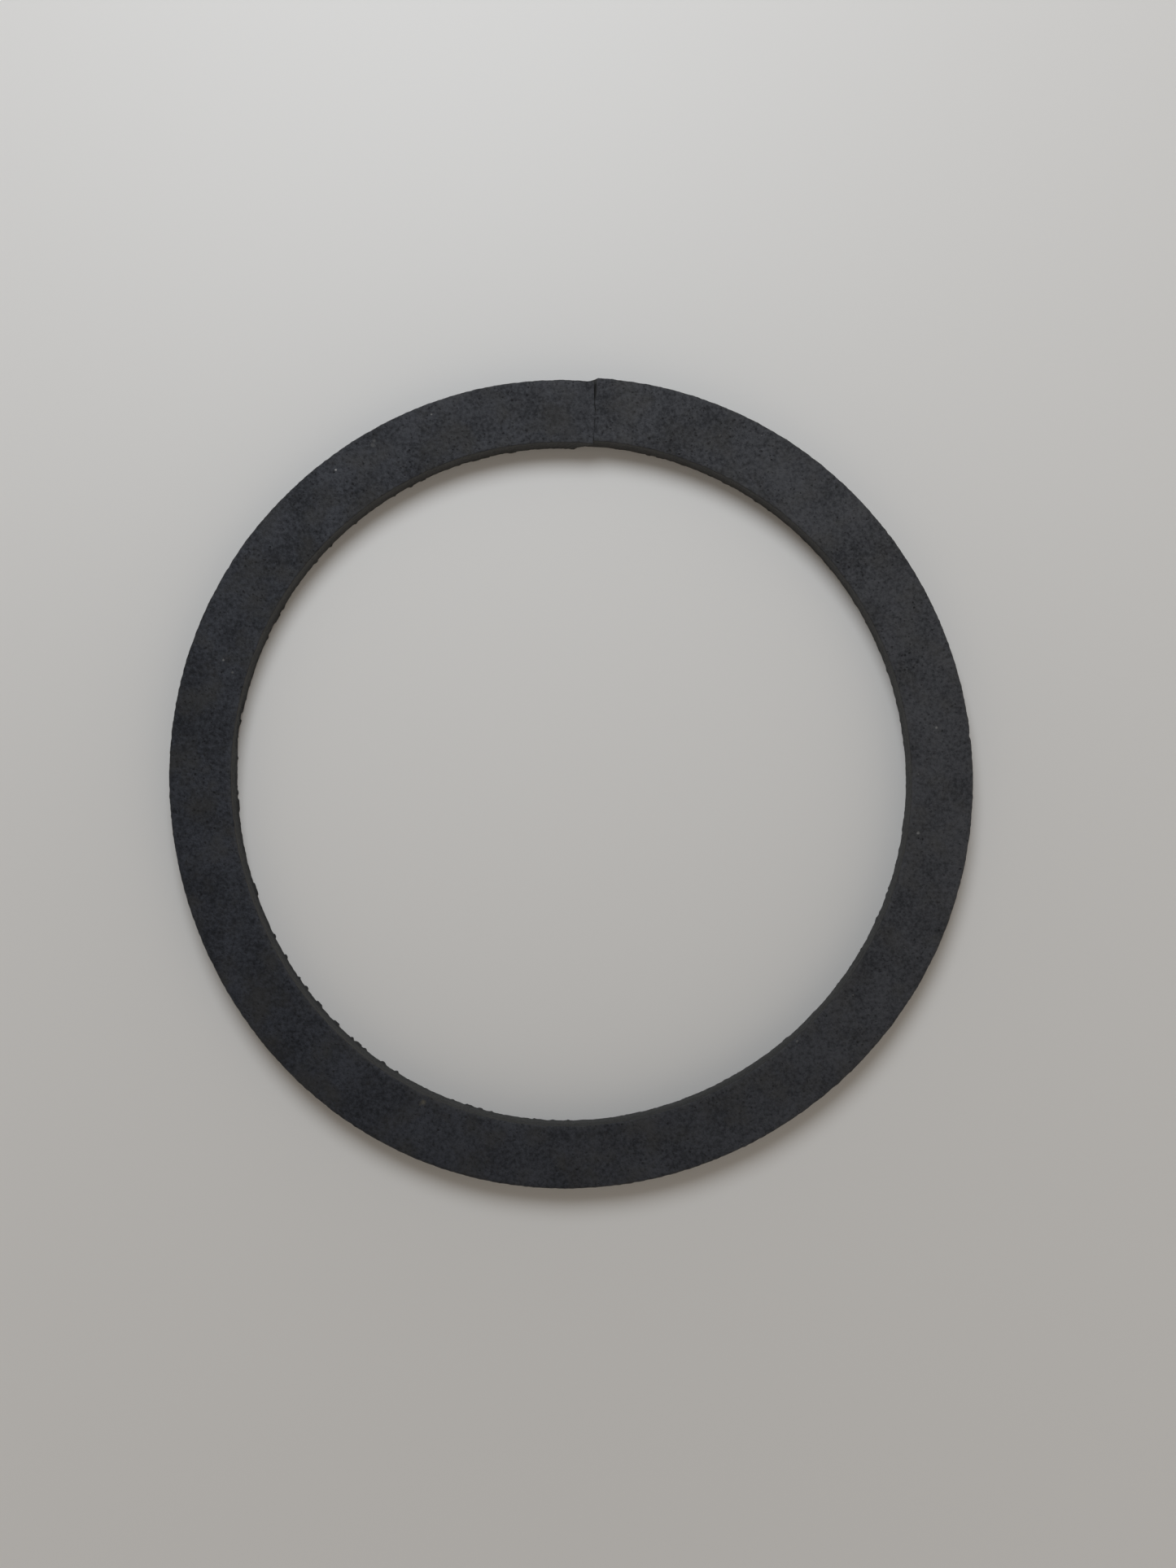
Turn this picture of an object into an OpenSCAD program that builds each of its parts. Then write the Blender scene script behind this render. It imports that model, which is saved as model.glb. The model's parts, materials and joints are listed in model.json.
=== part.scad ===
// Flat backup ring: one rubber band of rectangular section, cut through once.
// It lies on its lower face. The origin is on the bore's axis at that face, +Z up.

/* [Ring] */
// Outside diameter of the ring as it lies free
outer_d = 82.55; // [60:0.05:160]
// Radial width of the band, from the bore to the outside
band_w = 6.35; // [4:0.05:10]
// Thickness of the ring, from face to face
thickness = 3.2; // [1.6:0.1:8]

/* [Edges] */
// Radius of the two upper edges, where the die went in
upper_edge_r = 0.3; // [0.1:0.05:0.7]
// Radius of the two lower edges, where the die came out
lower_edge_r = 0.1; // [0.05:0.05:0.7]

/* [Cut] */
// Where the cut meets the outside on the upper face, in degrees from +X
cut_at = 86.4; // [0:0.1:360]
// Slant of the cut away from the radius, in degrees
cut_slant = 1.5; // [-10:0.5:10]
// Lean of the cut's middle, which carries one end on below the other, in degrees
cut_lean = 34; // [0:1:45]
// How far past the edge roundings the cut stands square to the faces, which blunts its tips
tip_h = 0.1; // [0.05:0.05:0.4]
// Width of the cut where its faces lie closed
cut_w = 0.04; // [0.02:0.01:0.5]
// How much wider the cut stands open at the outside
cut_flare = 0.2; // [0.05:0.05:1]
// Depth to which the cut stands open, from the outside
flare_depth = 3; // [1:0.1:3.5]

/* [Sprung end] */
// How far the overlapping end has sprung into the bore at the cut
spring_in = 0.21; // [0.05:0.01:1]
// Length of that end's bend, in degrees round the ring
spring_a = 29; // [24:1:60]

/* [Hidden] */
$fn = 180;

outer_r = outer_d / 2;
bore_r = outer_r - band_w;

// With x along the cut on the upper face, it lies at this y from the ring's axis
// and meets the outside at this x
cut_y = -outer_r * sin(cut_slant);
cut_out_x = outer_r * cos(cut_slant);

// The sprung end is an arc of smaller radius that leaves the round part on a common tangent.
// Its centre lies this far out along that tangent's radius, so the bore steps in by spring_in.
tip_r = bore_r - spring_in;
bend_shift = (bore_r * bore_r - tip_r * tip_r) / (2 * (bore_r - tip_r * cos(spring_a)));

// How far the sprung end turns about its own centre to reach the cut
bend_a = atan2(tip_r * sin(spring_a), tip_r * cos(spring_a) - bend_shift);

// Height of the cut's two square parts, and how far its lean between them runs along the band
square_h = max(upper_edge_r, lower_edge_r) + tip_h;
lean_run = (thickness - 2 * square_h) * tan(cut_lean);

// Both ends run on past the cut, by what its slant and its lean take up at the bore and
// a little more, and are trimmed back to it
spare = 1;
spare_a = 3 + asin(abs(cut_y) / bore_r) - abs(cut_slant) + asin(lean_run / bore_r);
trim_w = outer_r * sin(spare_a) + spare;
reach = outer_r + spare;

// What a rounding of radius r takes off a square corner that points up and to the right
module rounding(r) {
    translate([-r, -r])
        difference() {
            square(r + spare);
            circle(r, $fn = 48);
        }
}

// Section of the band, at its own radius from the axis
module section() {
    difference() {
        translate([bore_r, 0])
            square([band_w, thickness]);
        translate([outer_r, thickness])
            rounding(upper_edge_r);
        translate([bore_r, thickness])
            mirror([1, 0])
                rounding(upper_edge_r);
        translate([outer_r, 0])
            mirror([0, 1])
                rounding(lower_edge_r);
        translate([bore_r, 0])
            rotate(180)
                rounding(lower_edge_r);
    }
}

// The cut in section, from above the ring to below it, with what lies past it on one side (1 or -1)
module past_cut(side) {
    polygon([
        [0, thickness + spare],
        [0, thickness - square_h],
        [lean_run, square_h],
        [lean_run, -spare],
        [side * trim_w, -spare],
        [side * trim_w, thickness + spare]
    ]);
}

// Runs that section along the cut, from a point on its line, turned away from it by so many degrees
module along_cut(from, length, turn = 0) {
    rotate([0, 0, cut_slant - spring_a])
        translate([from[0], cut_y + from[1], 0])
            rotate([0, 0, turn])
                translate([-spare, 0, 0])
                    rotate([90, 0, 90])
                        linear_extrude(spare + length)
                            children();
}

// What lies past the face of the end that keeps its place
module past_seated_end() {
    along_cut([spare, 0], reach)
        past_cut(1);
}

// What lies past the face of the sprung end, whose outer part stands off from the other face
module past_sprung_end() {
    along_cut([spare, cut_w], reach)
        past_cut(-1);
    along_cut([cut_out_x - flare_depth, cut_w], flare_depth + spare, atan(cut_flare / flare_depth))
        past_cut(-1);
}

// The round part, from the start of the bend at +X anticlockwise to the cut
module round_part() {
    difference() {
        rotate_extrude(angle = 360 - spring_a + spare_a)
            section();
        past_seated_end();
    }
}

// The sprung end, from the start of the bend at +X clockwise to the cut
module sprung_end() {
    difference() {
        translate([bend_shift, 0, 0])
            rotate_extrude(angle = -bend_a - spare_a)
                translate([-bend_shift, 0])
                    section();
        past_sprung_end();
    }
}

module backup_ring() {
    color([0.2, 0.21, 0.22])
        rotate([0, 0, cut_at + spring_a]) {
            round_part();
            sprung_end();
        }
}

backup_ring();
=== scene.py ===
# A flat backup ring of charcoal rubber, cut through once, lying on a pale bench.
# The ring is shaped in millimetres and brought to metres once its mesh is done.
import json
import math

import bmesh
import bpy
from mathutils import Matrix, Vector, noise


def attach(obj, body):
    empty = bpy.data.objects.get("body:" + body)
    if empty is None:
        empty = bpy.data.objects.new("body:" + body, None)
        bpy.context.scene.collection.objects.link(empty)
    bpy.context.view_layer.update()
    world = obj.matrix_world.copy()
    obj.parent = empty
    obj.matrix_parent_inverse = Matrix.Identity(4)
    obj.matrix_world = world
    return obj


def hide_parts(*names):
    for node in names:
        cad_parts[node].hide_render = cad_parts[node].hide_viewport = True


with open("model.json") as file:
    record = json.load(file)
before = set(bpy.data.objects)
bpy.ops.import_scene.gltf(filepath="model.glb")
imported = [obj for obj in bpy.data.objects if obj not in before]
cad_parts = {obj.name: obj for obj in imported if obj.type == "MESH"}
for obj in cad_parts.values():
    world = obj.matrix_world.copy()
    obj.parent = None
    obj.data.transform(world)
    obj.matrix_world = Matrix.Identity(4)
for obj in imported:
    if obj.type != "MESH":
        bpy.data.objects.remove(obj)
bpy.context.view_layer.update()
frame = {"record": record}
mounts = {m["name"]: m for m in frame["record"]["mounts"]}
mm = 0.001

ring = {
    "outerR": mounts["outside"]["dims"]["r_mm"],
    "boreR": mounts["bore"]["dims"]["r_mm"],
    "thickness": mounts["upper_face"]["pos_m"][2] / mm,
    "outerEdgeR": 0.3,  # on the upper face
    "boreEdgeR": 0.13,
    "lowerEdgeR": 0.1,
    "outerEdgeSegments": 5,
    "boreEdgeSegments": 3,
    "lowerEdgeSegments": 3,
    "upperFaceCuts": 13,
    "lowerFaceCuts": 3,
    "boreCuts": 8,
    "outsideCuts": 4,
    "lengths": 20,  # the ring is swept as this many like lengths
    "lengthSteps": 92,
    "endSteps": 34,  # finer ones, over the last few degrees of each end
    "endDegrees": 2.4,
    "outOfRound": [(2, 0.155, 0.2, 86), (3, 0.126, 0.086, 15), (4, 0.067, 0.081, -24)],
    "fullness": 0.05,  # how much fuller the outside is than its nominal radius
    "cutAt": 86.4,  # degrees from +X, where the cut meets the outside
    "cutSlant": 1.5,  # degrees away from the radius
    "cutWidth": 0.04,  # where its faces lie closed
    "cutLean": 34,  # degrees from upright, between its two square parts
    "squareHeight": 0.4,
    "leanReach": 5.5,  # length of band that follows the lean
    "mouthWidth": 0.2,  # how much wider it stands open at the outside
    "mouthDepth": 1.5,
    "cutReach": 4,  # length of band that follows the cut's line
    "cutWander": [(3.3, 0.14, 0.35), (4.4, 0.06, 0.6)],  # depth, sideways, spread
    "notch": (1.78, 0.17, 0.13),  # depth, sideways, spread, in the seated end's face
    "seatedCornerR": 0.15,
    "sprungCornerR": 0.14,
    "sprungBoreR": 0.48,  # the sprung end's corner at the bore, low down
    "lipR": 0.06,  # along the cut, on both faces
    "springIn": 0.345,  # how far the sprung end stands in at its bore edge
    "springOut": 0.4,  # and at its outer edge
    "springDegrees": 29,
    "swell": 0.006,  # slow unevenness of the skin
    "swellSize": 3.1,
    "ragged": 0.045,  # fine unevenness along every edge
    "raggedSizes": [(0.5, 1, 41), (0.26, 0.6, 43)],  # size, how much, seed
    "raggedWidth": 0.35,  # width of the strip along each edge that it reaches
    "wornWidth": 0.42,  # and of the strip that handling has rubbed
    "nib": 0.15,  # how far the broken-out lower bore edge may stand proud
    "nibSize": 0.62,
    "nibShare": 0.35,  # share of that height all round
    "nibsAt": [(222, 36, 0.75), (140, 40, 0.35)],  # degrees, spread and what is added to that share
    "tornAt": (170, 4, 0.18),  # degrees, spread and depth of the worst of the broken edge, whose dent is also painted dark as shade
    "tornSize": 0.6,
    "paintedShadeLow": (197, 44),  # painted shade, where the bore's wall is darker toward the bench: degrees, spread
    "paintedShadeBelow": (290, 48, 0.4),  # and painted shade below its upper edge: degrees, spread, how much
    "lipAndHighlightAt": (205, 42, 0.15),  # paler line below the bore's upper edge, faint all round and a painted highlight where it is strongest: degrees, spread, least
    "nicks": [  # in the outer edge: degrees, spread, depth
        (6.6, 0.3, 0.1),
        (38, 0.25, 0.05),
        (148, 0.3, 0.05),
        (207, 0.25, 0.05),
    ],
}


# A fall from 1 at nothing to 0 at reach, level at both ends
def fade(x, reach):
    t = min(max(x / reach, 0), 1)
    return 1 - t * t * (3 - 2 * t)


def bump(x, middle, spread):
    return math.exp(-((x - middle) / spread) ** 2)


# The same round the ring, in degrees and the short way round
def bumpAt(angle, middle, spread):
    return bump((angle - middle + 180) % 360 - 180, 0, spread)


# How far a corner of radius r has fallen away at this distance from its end
def rounded(x, r):
    return r - math.sqrt(r * r - (r - x) ** 2) if x < r else 0


def grain(point, size, seed=0):
    return noise.noise(Vector(point) / size + Vector((seed, -seed, 0.5 * seed)))


# Unit vector, from its degrees round from +X and its degrees above the bench
def direction(turn, height):
    turn, height = math.radians(turn), math.radians(height)
    return Vector((math.cos(turn) * math.cos(height), math.sin(turn) * math.cos(height), math.sin(height)))


def bandSection(bm, part):
    low, high = part["boreR"], part["outerR"]
    top = part["thickness"]
    corners = [bm.verts.new(place) for place in ((low, 0, 0), (high, 0, 0), (high, 0, top), (low, 0, top))]
    bm.faces.new(corners)
    for corner, edge in zip(corners, ("lowerEdge", "lowerEdge", "outerEdge", "boreEdge")):
        bmesh.ops.bevel(bm, geom=[corner], offset=part[edge + "R"], offset_type="OFFSET", affect="VERTICES",
                        segments=part[edge + "Segments"], profile=0.5, material=-1)
    straight = [edge for edge in bm.edges if edge.calc_length() > 1]
    for edge in straight:
        height = (edge.verts[0].co.z + edge.verts[1].co.z) / 2
        wall = "boreCuts" if edge.verts[0].co.x < (low + high) / 2 else "outsideCuts"
        name = "upperFaceCuts" if height > 0.9 * top else "lowerFaceCuts" if height < 0.1 * top else wall
        bmesh.ops.subdivide_edges(bm, edges=[edge], cuts=part[name])
    bmesh.ops.delete(bm, geom=bm.faces[:], context="FACES_ONLY")


# Sweeps these points and edges round the ring's axis, and gives what stands at the far end
def sweep(bm, geom, degrees, steps, copies=False):
    swept = bmesh.ops.spin(bm, geom=geom, cent=(0, 0, 0), axis=(0, 0, 1), dvec=(0, 0, 0),
                           angle=math.radians(degrees), steps=steps, use_merge=False, use_duplicate=copies)
    return swept["geom_last"]


def sweepBand(bm, part):
    halfGap = math.degrees(part["cutWidth"] / 2 / part["outerR"])
    start = math.radians(part["cutAt"] + halfGap)
    bmesh.ops.rotate(bm, verts=bm.verts[:], cent=(0, 0, 0), matrix=Matrix.Rotation(start, 3, "Z"))
    sprungFace = bm.verts[:] + bm.edges[:]
    seatedFace = bmesh.ops.duplicate(bm, geom=sprungFace)["geom"]
    bmesh.ops.rotate(bm, verts=[item for item in seatedFace if isinstance(item, bmesh.types.BMVert)],
                     cent=(0, 0, 0), matrix=Matrix.Rotation(math.radians(-2 * halfGap), 3, "Z"))
    sweep(bm, seatedFace, -part["endDegrees"], part["endSteps"])
    length = sweep(bm, sprungFace, part["endDegrees"], part["endSteps"])
    ends = set(bm.verts[:] + bm.edges[:] + bm.faces[:]) - set(length)

    # one length of the plain band, and copies of it for the rest
    each = (360 - 2 * (part["endDegrees"] + halfGap)) / part["lengths"]
    sweep(bm, length, each, part["lengthSteps"])
    length = [item for item in bm.verts[:] + bm.edges[:] + bm.faces[:] if item not in ends]
    sweep(bm, length, each * (part["lengths"] - 1), part["lengths"] - 1, copies=True)
    bmesh.ops.remove_doubles(bm, verts=bm.verts[:], dist=0.001)

    openEdges = [edge for edge in bm.edges if edge.is_boundary]
    bmesh.ops.edgeloop_fill(bm, edges=openEdges, mat_nr=0, use_smooth=False)
    bmesh.ops.recalc_face_normals(bm, faces=bm.faces[:])
    bm.normal_update()


# Where a point of the plain band ends up, and what its surface is like there
def settle(place, normal, part):
    outerR, boreR, top = part["outerR"], part["boreR"], part["thickness"]
    width = outerR - boreR
    r = math.hypot(place.x, place.y)
    z = place.z
    angle = math.degrees(math.atan2(place.y, place.x))
    round360 = (angle - part["cutAt"]) % 360  # anticlockwise from the cut
    sprung = round360 < 180
    side = 1 if sprung else -1
    arc = math.radians(round360 if sprung else 360 - round360) * r
    depth = outerR - r
    across = (r - boreR) / width
    flat = abs(normal.z)

    # the cut: its slanting, wandering line, its lean, its open mouth and the notch past that
    slant = math.radians(part["cutSlant"])
    lineAngle = slant - math.asin(outerR * math.sin(slant) / r)
    sideways = lineAngle * r
    sideways -= sum(much * bump(depth, deep, spread) for deep, much, spread in part["cutWander"])
    sideways += 0.05 * grain((depth, 0, z), 0.9, 3)
    along = sideways * fade(arc, part["cutReach"])
    leaning = min(max(top - part["squareHeight"] - z, 0), top - 2 * part["squareHeight"])
    along += leaning * math.tan(math.radians(part["cutLean"])) * fade(arc, part["leanReach"])
    mouth = part["mouthWidth"] / 2 * fade(depth - part["mouthDepth"], 0.5)
    mouth += 0.012 * grain((depth, 0, z), 0.4, 8)
    along += side * max(mouth, 0) * fade(arc, 1.2)
    if not sprung:
        deep, much, spread = part["notch"]
        along -= much * bump(depth, deep, spread) * fade(top - z, 1.6) * fade(arc, 0.5)

    # the ends' corners, and the sprung end's bend into the bore
    cornerR = part["sprungCornerR"] if sprung else part["seatedCornerR"]
    outward = -rounded(arc, cornerR) * across
    if sprung:
        outward += rounded(arc, part["sprungBoreR"]) * (1 - across) * fade(z - 0.4, 1.8)
        share = max(1 - round360 / part["springDegrees"], 0) ** 2
        outward -= share * (part["springIn"] + (part["springOut"] - part["springIn"]) * across)
    rise = -rounded(arc, part["lipR"]) * (z / top * 2 - 1) * flat

    # waves a turn, how high each stands at the bore and outside, and where it peaks
    for waves, inner, outer, peak in part["outOfRound"]:
        outward += (inner + (outer - inner) * across) * math.cos(waves * math.radians(angle - peak))
    outward += part["fullness"] * across

    # the edges: broken out along the bore below, finely ragged and nicked elsewhere
    onBore = Vector((place.x, place.y, 0)) * (boreR / r)
    boreWall = fade(across, 0.1)
    nibs = part["nibShare"]
    nibs += sum(more * bumpAt(angle, middle, spread) for middle, spread, more in part["nibsAt"])
    torn = 1 - fade(grain(onBore + Vector((0, 0, z * 0.5)), part["nibSize"], 31) - 0.28, 0.14)
    torn += 0.25 * max(grain(onBore + Vector((0, 0, z)), 0.3, 37), 0)
    outward -= part["nib"] * nibs * torn * fade(z, 0.8) * fade(across, 0.12)
    # the worst of the broken edge: a dent, which the finish also paints dark as shade
    middle, spread, deep = part["tornAt"]
    brokenAndShade = min(1.6 * bumpAt(angle, middle, spread), 1) * fade(z - 1, 1.6) * boreWall
    brokenAndShade *= 1 - 0.7 * fade(grain(onBore + Vector((0, 0, z)), part["tornSize"], 51) + 0.35, 0.4)
    outward += deep * brokenAndShade * fade(z - 0.2, 1.2)
    for middle, spread, deep in part["nicks"]:
        outward -= deep * bumpAt(angle, middle, spread) * fade(1 - across, 0.05)
    fromEdge = width * (0.5 - abs(across - 0.5))
    rough = sum(much * grain(place, size, seed) for size, much, seed in part["raggedSizes"])
    relief = part["swell"] * grain(place, part["swellSize"], 13)
    relief += part["ragged"] * fade(fromEdge, part["raggedWidth"]) * rough

    spin = math.radians(angle) + along / r
    toward = Vector((math.cos(spin), math.sin(spin), 0))
    moved = toward * (r + outward) + Vector((0, 0, z + rise)) + normal * relief
    moved.z = max(moved.z, 0)

    # what the finish follows: rubbed edges, the painted highlight along the bore's upper edge, the painted
    # shade on the bore wall, and the way round
    # painted shade: the bore wall darker toward the bench, and below its upper edge on one side
    middle, spread = part["paintedShadeLow"]
    paintedShade = bumpAt(angle, middle, spread) * (0.3 + 0.4 * fade(z - 0.2, 1.5))
    middle, spread, much = part["paintedShadeBelow"]
    paintedShade += much * bumpAt(angle, middle, spread) * fade(top - z - 0.6, 1.8)
    # the paler line along the bore's upper edge: faint all round, and a painted highlight on the side that
    # faces the light
    middle, spread, least = part["lipAndHighlightAt"]
    pale = least + (1 - least) * bumpAt(angle, middle, spread)
    look = {
        "worn": fade(fromEdge, part["wornWidth"]) * fade(top - z, 0.5),
        "lipAndHighlight": fade(top - z - 0.15, 0.6) * boreWall * pale,
        "brokenAndShade": max(brokenAndShade, paintedShade * boreWall),
        "alongBand": math.radians(round360) * (boreR + width / 2),
    }
    return moved, look


# Puts points, edges and faces in an order of their places, which is the same every run
def sortByPlace(bm):
    def rank(place):
        return place.x * 10000 + place.y * 100 + place.z
    bm.verts.sort(key=lambda vert: rank(vert.co))
    bm.edges.sort(key=lambda edge: rank((edge.verts[0].co + edge.verts[1].co) / 2))
    bm.faces.sort(key=lambda face: rank(face.calc_center_median()))


def makeRing(part):
    bm = bmesh.new()
    bandSection(bm, part)
    sweepBand(bm, part)
    layers = {name: bm.verts.layers.float.new(name) for name in ("worn", "lipAndHighlight", "brokenAndShade", "alongBand")}
    for vert in bm.verts:
        moved, look = settle(vert.co, vert.normal, part)
        vert.co = moved
        for name, value in look.items():
            vert[layers[name]] = value
    for face in bm.faces:
        face.smooth = len(face.verts) == 4
        face.material_index = 0 if face.smooth and abs(face.normal.z) > 0.6 else 1
    for edge in bm.edges:
        edge.smooth = all(len(face.verts) == 4 for face in edge.link_faces)
    sortByPlace(bm)
    bmesh.ops.scale(bm, vec=(mm, mm, mm), verts=bm.verts[:])
    mesh = bpy.data.meshes.new("backupRing")
    bm.to_mesh(mesh)
    bm.free()
    made = bpy.data.objects.new("backupRing", mesh)
    bpy.context.scene.collection.objects.link(made)
    return made


view = {
    "height": 0.1732,  # above the bench
    "x": 0.00179,
    "y": -0.00017,
    "lens": 38.2,
    "sensor": 36,
}


def makeCamera(setting):
    data = bpy.data.cameras.new("camera")
    data.lens = setting["lens"]
    data.sensor_width = setting["sensor"]
    data.clip_start = 0.005
    made = bpy.data.objects.new("camera", data)
    made.location = (setting["x"], setting["y"], setting["height"])
    bpy.context.scene.collection.objects.link(made)
    bpy.context.scene.camera = made


makeCamera(view)
print("camera: looking straight down from", view["height"], "m")

backupRing = makeRing(ring)
print("ring:", len(backupRing.data.vertices), "points,", len(backupRing.data.polygons), "faces")


def addNode(tree, kind, inputs=None, **settings):
    node = tree.nodes.new(kind)
    for name, value in settings.items():
        setattr(node, name, value)
    for name, value in (inputs or {}).items():
        if isinstance(value, bpy.types.NodeSocket):
            tree.links.new(value, node.inputs[name])
        else:
            node.inputs[name].default_value = value
    return node


def newMaterial(name):
    made = bpy.data.materials.new(name)
    made.use_nodes = True
    made.node_tree.nodes.clear()
    return made, made.node_tree


# Named sockets of a new shader group: kinds are Float, Vector and Color
def newGroup(name, inputs, outputs):
    tree = bpy.data.node_groups.new(name, "ShaderNodeTree")
    for label, (kind, value) in inputs.items():
        socket = tree.interface.new_socket(label, in_out="INPUT", socket_type="NodeSocket" + kind)
        if value is not None:
            socket.default_value = value
    for label in outputs:
        tree.interface.new_socket(label, in_out="OUTPUT", socket_type="NodeSocketFloat")
    return tree, tree.nodes.new("NodeGroupInput").outputs


def useGroup(tree, group, inputs):
    node = tree.nodes.new("ShaderNodeGroup")
    node.node_tree = group
    for name, value in inputs.items():
        if isinstance(value, bpy.types.NodeSocket):
            tree.links.new(value, node.inputs[name])
        else:
            node.inputs[name].default_value = value
    return node.outputs


def maths(tree, operation, first, second=0, third=0, clamp=False):
    node = tree.nodes.new("ShaderNodeMath")
    node.operation = operation
    node.use_clamp = clamp
    for slot, value in enumerate((first, second, third)):
        if isinstance(value, bpy.types.NodeSocket):
            tree.links.new(value, node.inputs[slot])
        else:
            node.inputs[slot].default_value = value
    return node.outputs["Value"]


def mixColour(tree, share, first, second):
    node = tree.nodes.new("ShaderNodeMix")
    node.data_type = "RGBA"
    sockets = [socket for socket in node.inputs if socket.enabled]  # factor, A and B of a colour mix
    for socket, value in zip(sockets, (share, first, second)):
        if isinstance(value, bpy.types.NodeSocket):
            tree.links.new(value, socket)
        else:
            socket.default_value = value
    return [socket for socket in node.outputs if socket.enabled][0]


def attribute(tree, name):
    return addNode(tree, "ShaderNodeAttribute", attribute_name=name).outputs["Fac"]


# The compound's own unevenness: fine grain over slow drifts, as a tone from 0 to 1
def compoundGroup():
    tree, given = newGroup("rubberCompound", {"Vector": ("Vector", None), "Grain": ("Float", 4.0),
                                              "Drift": ("Float", 0.3)}, ["Tone", "Height"])
    fine = addNode(tree, "ShaderNodeTexNoise", {"Vector": given["Vector"], "Scale": given["Grain"],
                                                "Detail": 5, "Roughness": 0.68})
    slow = addNode(tree, "ShaderNodeTexNoise", {"Vector": given["Vector"], "Scale": given["Drift"],
                                                "Detail": 3})
    both = maths(tree, "MULTIPLY", fine.outputs["Fac"], 0.7)
    both = maths(tree, "MULTIPLY_ADD", slow.outputs["Fac"], 0.3, both)
    tone = addNode(tree, "ShaderNodeMapRange", {"Value": both, "From Min": 0.39, "From Max": 0.61})
    out = tree.nodes.new("NodeGroupOutput")
    tree.links.new(tone.outputs["Result"], out.inputs["Tone"])
    tree.links.new(fine.outputs["Fac"], out.inputs["Height"])
    return tree


# Where handling has rubbed an edge, broken up by the grain
def wearGroup():
    tree, given = newGroup("rubbedEdge", {"Vector": ("Vector", None), "Worn": ("Float", 0.0)}, ["Mask"])
    patchy = addNode(tree, "ShaderNodeTexNoise", {"Vector": given["Vector"], "Scale": 1.7, "Detail": 4,
                                                  "Roughness": 0.7})
    share = addNode(tree, "ShaderNodeMapRange", {"Value": patchy.outputs["Fac"], "From Min": 0.38,
                                                 "From Max": 0.66})
    mask = maths(tree, "MULTIPLY", share.outputs["Result"], given["Worn"], clamp=True)
    out = tree.nodes.new("NodeGroupOutput")
    tree.links.new(mask, out.inputs["Mask"])
    return tree


# Pores in patches: each a hollow at the middle of its cell, its size between two shares of the cell
def poreGroup():
    tree, given = newGroup("skinPores", {"Vector": ("Vector", None), "Density": ("Float", 2.0),
                                         "Least": ("Float", 0.1), "Most": ("Float", 0.3)}, ["Mask"])
    bent = addNode(tree, "ShaderNodeTexNoise", {"Vector": given["Vector"], "Scale": 5, "Detail": 1})
    bent = addNode(tree, "ShaderNodeVectorMath", {0: bent.outputs["Color"], 1: (0.22, 0.22, 0.22)},
                   operation="MULTIPLY")
    bent = addNode(tree, "ShaderNodeVectorMath", {0: given["Vector"], 1: bent.outputs["Vector"]},
                   operation="ADD")
    cells = addNode(tree, "ShaderNodeTexVoronoi", {"Vector": bent.outputs["Vector"],
                                                   "Scale": given["Density"]})
    patches = addNode(tree, "ShaderNodeTexNoise", {"Vector": given["Vector"], "Scale": 0.2, "Detail": 2})
    own = addNode(tree, "ShaderNodeSeparateColor", {"Color": cells.outputs["Color"]})
    size = maths(tree, "MULTIPLY_ADD", own.outputs["Red"], 0.45, patches.outputs["Fac"])
    size = addNode(tree, "ShaderNodeMapRange", {"Value": size, "From Min": 0.5, "From Max": 1,
                                                "To Min": given["Least"], "To Max": given["Most"]})
    near = addNode(tree, "ShaderNodeMapRange", {"Value": cells.outputs["Distance"], "From Min": 0.02,
                                                "From Max": size.outputs["Result"], "To Min": 1, "To Max": 0})
    out = tree.nodes.new("NodeGroupOutput")
    tree.links.new(near.outputs["Result"], out.inputs["Mask"])
    return tree


# One speck of its own, roughly round
def speckGroup():
    tree, given = newGroup("placedSpeck", {"Vector": ("Vector", None), "Place": ("Vector", (0, 0, 0)),
                                           "Across": ("Float", 0.3), "Plain": ("Float", 0.5)}, ["Mask"])
    away = addNode(tree, "ShaderNodeVectorMath", {0: given["Vector"], 1: given["Place"]},
                   operation="DISTANCE")
    shape = addNode(tree, "ShaderNodeTexNoise", {"Vector": given["Vector"], "Scale": 6, "Detail": 2})
    away = maths(tree, "MULTIPLY", away.outputs["Value"], maths(tree, "ADD", shape.outputs["Fac"], 0.5))
    radius = maths(tree, "MULTIPLY", given["Across"], 0.5)
    near = maths(tree, "SUBTRACT", 1, maths(tree, "DIVIDE", away, radius))
    near = maths(tree, "MULTIPLY", near, 1.6, clamp=True)
    out = tree.nodes.new("NodeGroupOutput")
    tree.links.new(maths(tree, "MULTIPLY", near, given["Plain"]), out.inputs["Mask"])
    return tree


# Dust a few hundredths of a millimetre across, in about one cell of four
def dustGroup():
    tree, given = newGroup("dustSpecks", {"Vector": ("Vector", None), "Density": ("Float", 0.5),
                                          "Size": ("Float", 0.05)}, ["Mask"])
    cells = addNode(tree, "ShaderNodeTexVoronoi", {"Vector": given["Vector"], "Scale": given["Density"]})
    chosen = addNode(tree, "ShaderNodeSeparateColor", {"Color": cells.outputs["Color"]})
    few = maths(tree, "GREATER_THAN", chosen.outputs["Red"], 0.75)
    near = addNode(tree, "ShaderNodeMapRange", {"Value": cells.outputs["Distance"], "From Min": 0.0,
                                                "From Max": given["Size"], "To Min": 1.0, "To Max": 0.0})
    out = tree.nodes.new("NodeGroupOutput")
    tree.links.new(maths(tree, "MULTIPLY", few, near.outputs["Result"]), out.inputs["Mask"])
    return tree


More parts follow.
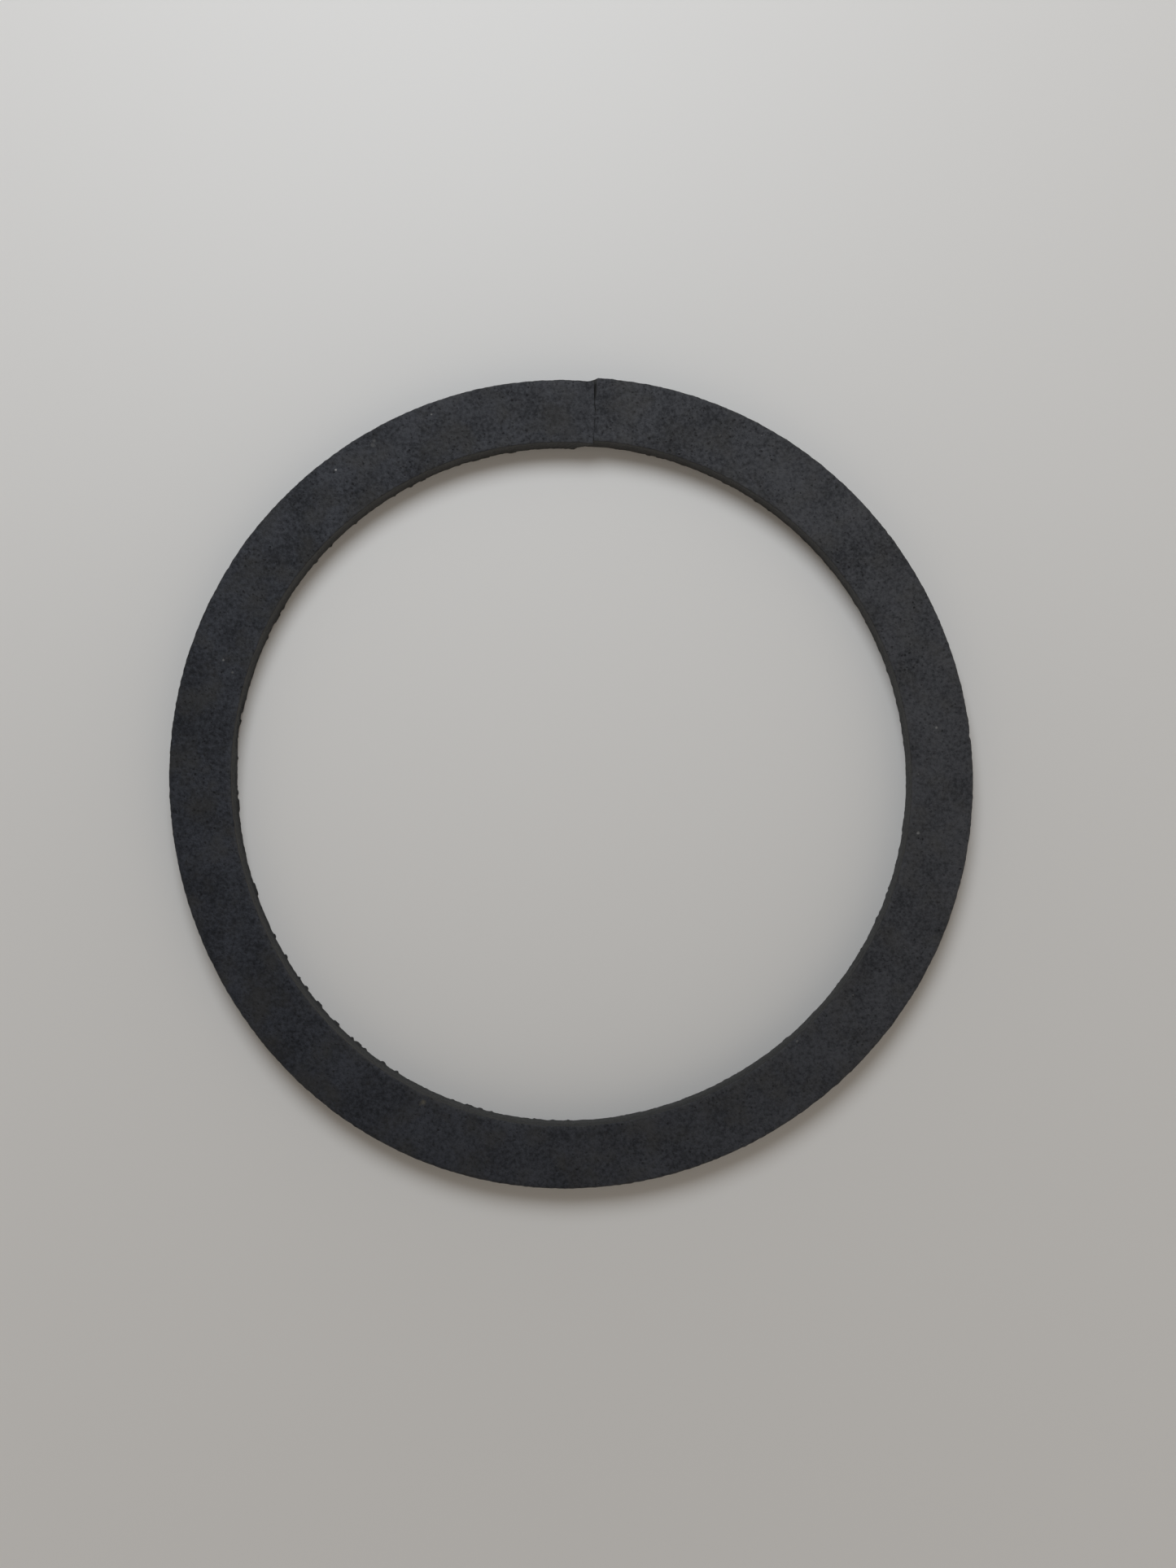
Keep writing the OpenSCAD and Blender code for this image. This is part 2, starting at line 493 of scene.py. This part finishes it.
rubber = {
    "skinDark": (0.0035, 0.0043, 0.0068, 1),
    "skinLight": (0.0245, 0.0272, 0.0355, 1),
    "skinWarm": (0.0195, 0.0188, 0.018, 1),
    # the dark of the skin's pores, also used for the painted shade on the bore wall
    "pitAndShade": (0.004, 0.0042, 0.005, 1),
    "cutDark": (0.019, 0.0195, 0.0195, 1),
    "cutLight": (0.04, 0.0405, 0.039, 1),
    # paler edge colour: a faint lip all round and a painted highlight on the bore's lit side
    "lipAndHighlight": (0.055, 0.051, 0.043, 1),
    "worn": (0.05, 0.0495, 0.047, 1),
    "dust": (0.3, 0.3, 0.29, 1),
    "clay": (0.12, 0.105, 0.07, 1),
    # painted sheen: a paler grey laid on the side of the skin that faces the window and softbox
    "paintedSheen": (0.053, 0.0525, 0.0545, 1),
    "paintedSheenShare": 0.4,
    "paintedSheenSide": 20,  # degrees from +X, where the painted sheen is strongest
    "shine": 0.3,
    "skinRelief": 0.00009,  # metres, from the grain's lowest to its highest
    "cutRelief": 0.00005,
}

# Each speck: degrees, mm from the axis, mm across, how plain it is
specks = [
    (126.9, 39.93, 0.26, 0.8), (110.7, 40.2, 0.24, 0.4), (120.4, 39.95, 0.6, 0.14), (119.9, 40.25, 0.4, 0.13),
    (160.6, 37.6, 0.28, 0.35), (162, 36.3, 0.34, 0.2), (66.7, 38.6, 0.34, 0.12), (8.5, 37.8, 0.32, 0.35),
    (351.7, 35.9, 0.4, 0.35), (311.2, 35.15, 0.32, 0.2),
]
clays = [(245.3, 36, 0.7, 0.4), (245, 36.3, 0.35, 0.2)]


def finishRubber(tree, colour, roughness, height, distance):
    relief = addNode(tree, "ShaderNodeBump", {"Height": height, "Distance": distance, "Strength": 1.0})
    shader = addNode(tree, "ShaderNodeBsdfPrincipled", {"Base Color": colour, "Roughness": roughness,
                                                        "Specular IOR Level": rubber["shine"],
                                                        "Normal": relief.outputs["Normal"]})
    addNode(tree, "ShaderNodeOutputMaterial", {"Surface": shader.outputs["BSDF"]})


def inMillimetres(tree):
    place = addNode(tree, "ShaderNodeTexCoord")
    return addNode(tree, "ShaderNodeMapping", {"Vector": place.outputs["Object"],
                                               "Scale": (1000, 1000, 1000)}).outputs["Vector"]


# All the specks of one list, as one mask
def speckMask(tree, spot, group, places):
    mask = 0
    for degrees, away, across, plain in places:
        turn = math.radians(degrees)
        place = (away * math.cos(turn), away * math.sin(turn), ring["thickness"])
        one = useGroup(tree, group, {"Vector": spot, "Place": place, "Across": across, "Plain": plain})
        mask = maths(tree, "MAXIMUM", one["Mask"], mask)
    return mask


# The pressed skin of the sheet, above and below: bluish charcoal with browner patches, grained and pitted,
# with a painted sheen paler toward one side
def skinMaterial(look, groups):
    made, tree = newMaterial("skinRubber")
    spot = inMillimetres(tree)
    compound = useGroup(tree, groups["compound"], {"Vector": spot, "Grain": 2.6, "Drift": 0.24})
    colour = mixColour(tree, compound["Tone"], look["skinDark"], look["skinLight"])
    browner = addNode(tree, "ShaderNodeTexNoise", {"Vector": spot, "Scale": 0.27, "Detail": 3,
                                                   "Roughness": 0.6})
    browner = addNode(tree, "ShaderNodeMapRange", {"Value": browner.outputs["Fac"], "From Min": 0.47,
                                                   "From Max": 0.66, "To Max": 0.7})
    colour = mixColour(tree, browner.outputs["Result"], colour, look["skinWarm"])
    # painted sheen: the skin paler toward one side, as the lamps' sheen makes it
    toward = addNode(tree, "ShaderNodeVectorMath", {0: spot, 1: direction(look["paintedSheenSide"], 0)},
                     operation="DOT_PRODUCT")
    paintedSheen = addNode(tree, "ShaderNodeMapRange", {"Value": toward.outputs["Value"], "From Min": -38,
                                                 "From Max": 40, "To Max": look["paintedSheenShare"]})
    paintedSheen = maths(tree, "MULTIPLY", paintedSheen.outputs["Result"], maths(tree, "ADD", compound["Tone"], 0.5))
    colour = mixColour(tree, paintedSheen, colour, look["paintedSheen"])
    small = useGroup(tree, groups["pores"], {"Vector": spot, "Density": 2.3, "Least": 0.1, "Most": 0.42})
    large = useGroup(tree, groups["pores"], {"Vector": spot, "Density": 1.05, "Least": 0.02, "Most": 0.2})
    hollow = maths(tree, "MAXIMUM", large["Mask"], maths(tree, "MULTIPLY", small["Mask"], 0.7))
    colour = mixColour(tree, hollow, colour, look["pitAndShade"])
    worn = useGroup(tree, groups["wear"], {"Vector": spot, "Worn": attribute(tree, "worn")})["Mask"]
    colour = mixColour(tree, maths(tree, "MULTIPLY", worn, 0.3), colour, look["worn"])
    dust = useGroup(tree, groups["dust"], {"Vector": spot, "Density": 0.45, "Size": 0.035})["Mask"]
    dust = maths(tree, "MULTIPLY", dust, 0.4)
    dust = maths(tree, "MAXIMUM", dust, speckMask(tree, spot, groups["speck"], specks))
    colour = mixColour(tree, dust, colour, look["dust"])
    colour = mixColour(tree, speckMask(tree, spot, groups["speck"], clays), colour, look["clay"])
    roughness = addNode(tree, "ShaderNodeMapRange", {"Value": compound["Tone"], "To Min": 0.76,
                                                     "To Max": 0.56})
    roughness = maths(tree, "MULTIPLY_ADD", hollow, 0.3, roughness.outputs["Result"], clamp=True)
    height = maths(tree, "MULTIPLY_ADD", hollow, -0.8, compound["Height"])
    finishRubber(tree, colour, roughness, height, look["skinRelief"])
    return made


# The die-cut walls and the faces of the cut: plainer, drawn out along the knife's way, with a painted
# highlight along the bore's upper edge and painted shade low on the bore wall
def cutMaterial(look, groups):
    made, tree = newMaterial("cutRubber")
    spot = inMillimetres(tree)
    compound = useGroup(tree, groups["compound"], {"Vector": spot, "Grain": 4.6, "Drift": 0.5})
    height = addNode(tree, "ShaderNodeSeparateXYZ", {"Vector": spot}).outputs["Z"]
    drawn = addNode(tree, "ShaderNodeCombineXYZ", {"X": attribute(tree, "alongBand"),
                                                   "Z": maths(tree, "MULTIPLY", height, 0.16)})
    lines = addNode(tree, "ShaderNodeTexNoise", {"Vector": drawn.outputs["Vector"], "Scale": 4.2, "Detail": 3,
                                                 "Roughness": 0.6})
    grained = maths(tree, "MULTIPLY_ADD", compound["Tone"], 0.5, -0.2)
    tone = maths(tree, "MULTIPLY_ADD", lines.outputs["Fac"], 0.9, grained, clamp=True)
    colour = mixColour(tree, tone, look["cutDark"], look["cutLight"])
    # the paler line along the bore's upper edge, a painted highlight where it is strongest
    lipAndHighlight = maths(tree, "MULTIPLY_ADD", compound["Tone"], 0.5, 0.5)
    lipAndHighlight = maths(tree, "MULTIPLY", attribute(tree, "lipAndHighlight"), lipAndHighlight)
    colour = mixColour(tree, lipAndHighlight, colour, look["lipAndHighlight"])
    worn = useGroup(tree, groups["wear"], {"Vector": spot, "Worn": attribute(tree, "worn")})["Mask"]
    colour = mixColour(tree, maths(tree, "MULTIPLY", worn, 0.3), colour, look["worn"])
    # painted shade: the bore wall darkened toward the bench and where it is torn
    colour = mixColour(tree, attribute(tree, "brokenAndShade"), colour, look["pitAndShade"])
    dust = useGroup(tree, groups["dust"], {"Vector": spot, "Density": 0.45, "Size": 0.035})["Mask"]
    colour = mixColour(tree, maths(tree, "MULTIPLY", dust, 0.3), colour, look["dust"])
    roughness = addNode(tree, "ShaderNodeMapRange", {"Value": tone, "To Min": 0.74, "To Max": 0.6})
    roughness = maths(tree, "MULTIPLY_ADD", attribute(tree, "brokenAndShade"), 0.3, roughness.outputs["Result"],
                      clamp=True)
    relief = maths(tree, "MULTIPLY_ADD", compound["Height"], 0.6, lines.outputs["Fac"])
    finishRubber(tree, colour, roughness, relief, look["cutRelief"])
    return made


bench = {
    "size": 3,
    "drop": 0.00002,
    "tone": (0.66, 0.652, 0.635, 1),
    "roughness": 0.55,
    "haze": (0.22, 0.219, 0.216, 1),  # what keeps it pale to the horizon, for the camera alone
    "hazeFrom": 0.05,
    "hazeTo": 0.33,
}


def makeBench(setting):
    bm = bmesh.new()
    bmesh.ops.create_grid(bm, x_segments=1, y_segments=1, size=setting["size"] / 2,
                          matrix=Matrix.Translation((0, 0, -setting["drop"])))
    mesh = bpy.data.meshes.new("bench")
    bm.to_mesh(mesh)
    bm.free()
    made = bpy.data.objects.new("bench", mesh)
    bpy.context.scene.collection.objects.link(made)
    material, tree = newMaterial("paleBench")
    place = addNode(tree, "ShaderNodeTexCoord").outputs["Object"]
    away = addNode(tree, "ShaderNodeVectorMath", {0: place}, operation="LENGTH").outputs["Value"]
    away = addNode(tree, "ShaderNodeMapRange", {"Value": away, "From Min": setting["hazeFrom"],
                                                "From Max": setting["hazeTo"]})
    seen = addNode(tree, "ShaderNodeLightPath").outputs["Is Camera Ray"]
    share = maths(tree, "MULTIPLY", away.outputs["Result"], seen)
    haze = mixColour(tree, share, (0, 0, 0, 1), setting["haze"])
    shader = addNode(tree, "ShaderNodeBsdfPrincipled", {"Base Color": setting["tone"], "Emission Color": haze,
                                                        "Roughness": setting["roughness"],
                                                        "Emission Strength": 1})
    addNode(tree, "ShaderNodeOutputMaterial", {"Surface": shader.outputs["BSDF"]})
    mesh.materials.append(material)
    return made


lighting = {
    "softbox": (99, 53, 0.3, 0.16, 0.52),  # degrees from +X, degrees above the bench, distance, width, watts
    "softboxTint": (0.88, 0.935, 1),
    "room": 0.33,  # what the room adds from all round
    "roomSide": (310, 0.6),  # degrees towards its brighter side, and how much brighter that is
    "roomLow": 2,  # how much of it comes from the bench's height, and from overhead
    "roomHigh": 0.5,
    "roomTint": (1, 0.9, 0.79, 1),
    "horizon": 0.8,  # how pale the room looks at the bench's height
    "ceiling": 0.05,
    "window": (20, 62, 0.9),  # a paler part of the ceiling in reflections: degrees, degrees, how pale
}


def makeSoftbox(name, tint, turn, height, distance, width, watts):
    away = direction(turn, height)
    data = bpy.data.lights.new(name, "AREA")
    data.shape = "DISK"
    data.size = width
    data.energy = watts
    data.color = tint
    made = bpy.data.objects.new(name, data)
    made.location = away * distance
    made.rotation_euler = away.to_track_quat("Z", "Y").to_euler()
    made.visible_camera = False
    bpy.context.scene.collection.objects.link(made)


# The room lights the bench softly from all round, and looks pale at the horizon and dim overhead
def makeRoom(setting):
    world = bpy.data.worlds.new("room")
    world.use_nodes = True
    tree = world.node_tree
    tree.nodes.clear()
    toward = addNode(tree, "ShaderNodeTexCoord").outputs["Generated"]
    height = addNode(tree, "ShaderNodeSeparateXYZ", {"Vector": toward}).outputs["Z"]
    pale = addNode(tree, "ShaderNodeMapRange", {"Value": height, "From Min": 0.1, "From Max": 0.6,
                                                "To Min": setting["horizon"], "To Max": setting["ceiling"]})
    turn, rise, bright = setting["window"]
    window = addNode(tree, "ShaderNodeVectorMath", {0: toward, 1: direction(turn, rise)},
                     operation="DOT_PRODUCT")
    window = addNode(tree, "ShaderNodeMapRange", {"Value": window.outputs["Value"], "From Min": 0.72,
                                                  "From Max": 0.95, "To Max": bright})
    shown = maths(tree, "ADD", pale.outputs["Result"], window.outputs["Result"])
    looks = addNode(tree, "ShaderNodeBackground", {"Strength": shown})
    turn, lean = setting["roomSide"]
    side = addNode(tree, "ShaderNodeVectorMath", {0: toward, 1: direction(turn, 0)}, operation="DOT_PRODUCT")
    level = maths(tree, "MULTIPLY_ADD", side.outputs["Value"], setting["room"] * lean, setting["room"])
    falling = addNode(tree, "ShaderNodeMapRange", {"Value": height, "To Min": setting["roomLow"],
                                                   "To Max": setting["roomHigh"]})
    level = maths(tree, "MULTIPLY", level, falling.outputs["Result"])
    lit = addNode(tree, "ShaderNodeBackground", {"Color": setting["roomTint"], "Strength": level})
    ray = addNode(tree, "ShaderNodeLightPath").outputs
    seen = maths(tree, "MAXIMUM", ray["Is Camera Ray"], ray["Is Glossy Ray"])
    seen = maths(tree, "MAXIMUM", seen, ray["Is Transmission Ray"])
    both = addNode(tree, "ShaderNodeMixShader", {"Fac": seen})
    tree.links.new(lit.outputs["Background"], both.inputs[1])
    tree.links.new(looks.outputs["Background"], both.inputs[2])
    addNode(tree, "ShaderNodeOutputWorld", {"Surface": both.outputs["Shader"]})
    bpy.context.scene.world = world


groups = {"compound": compoundGroup(), "wear": wearGroup(), "pores": poreGroup(), "speck": speckGroup(),
          "dust": dustGroup()}
backupRing.data.materials.append(skinMaterial(rubber, groups))
backupRing.data.materials.append(cutMaterial(rubber, groups))
print("materials: skin and cut rubber")
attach(backupRing, "root")
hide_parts("backup_ring")
floor = makeBench(bench)
makeSoftbox("softbox", lighting["softboxTint"], *lighting["softbox"])
makeRoom(lighting)
bpy.context.scene.view_settings.view_transform = "Standard"
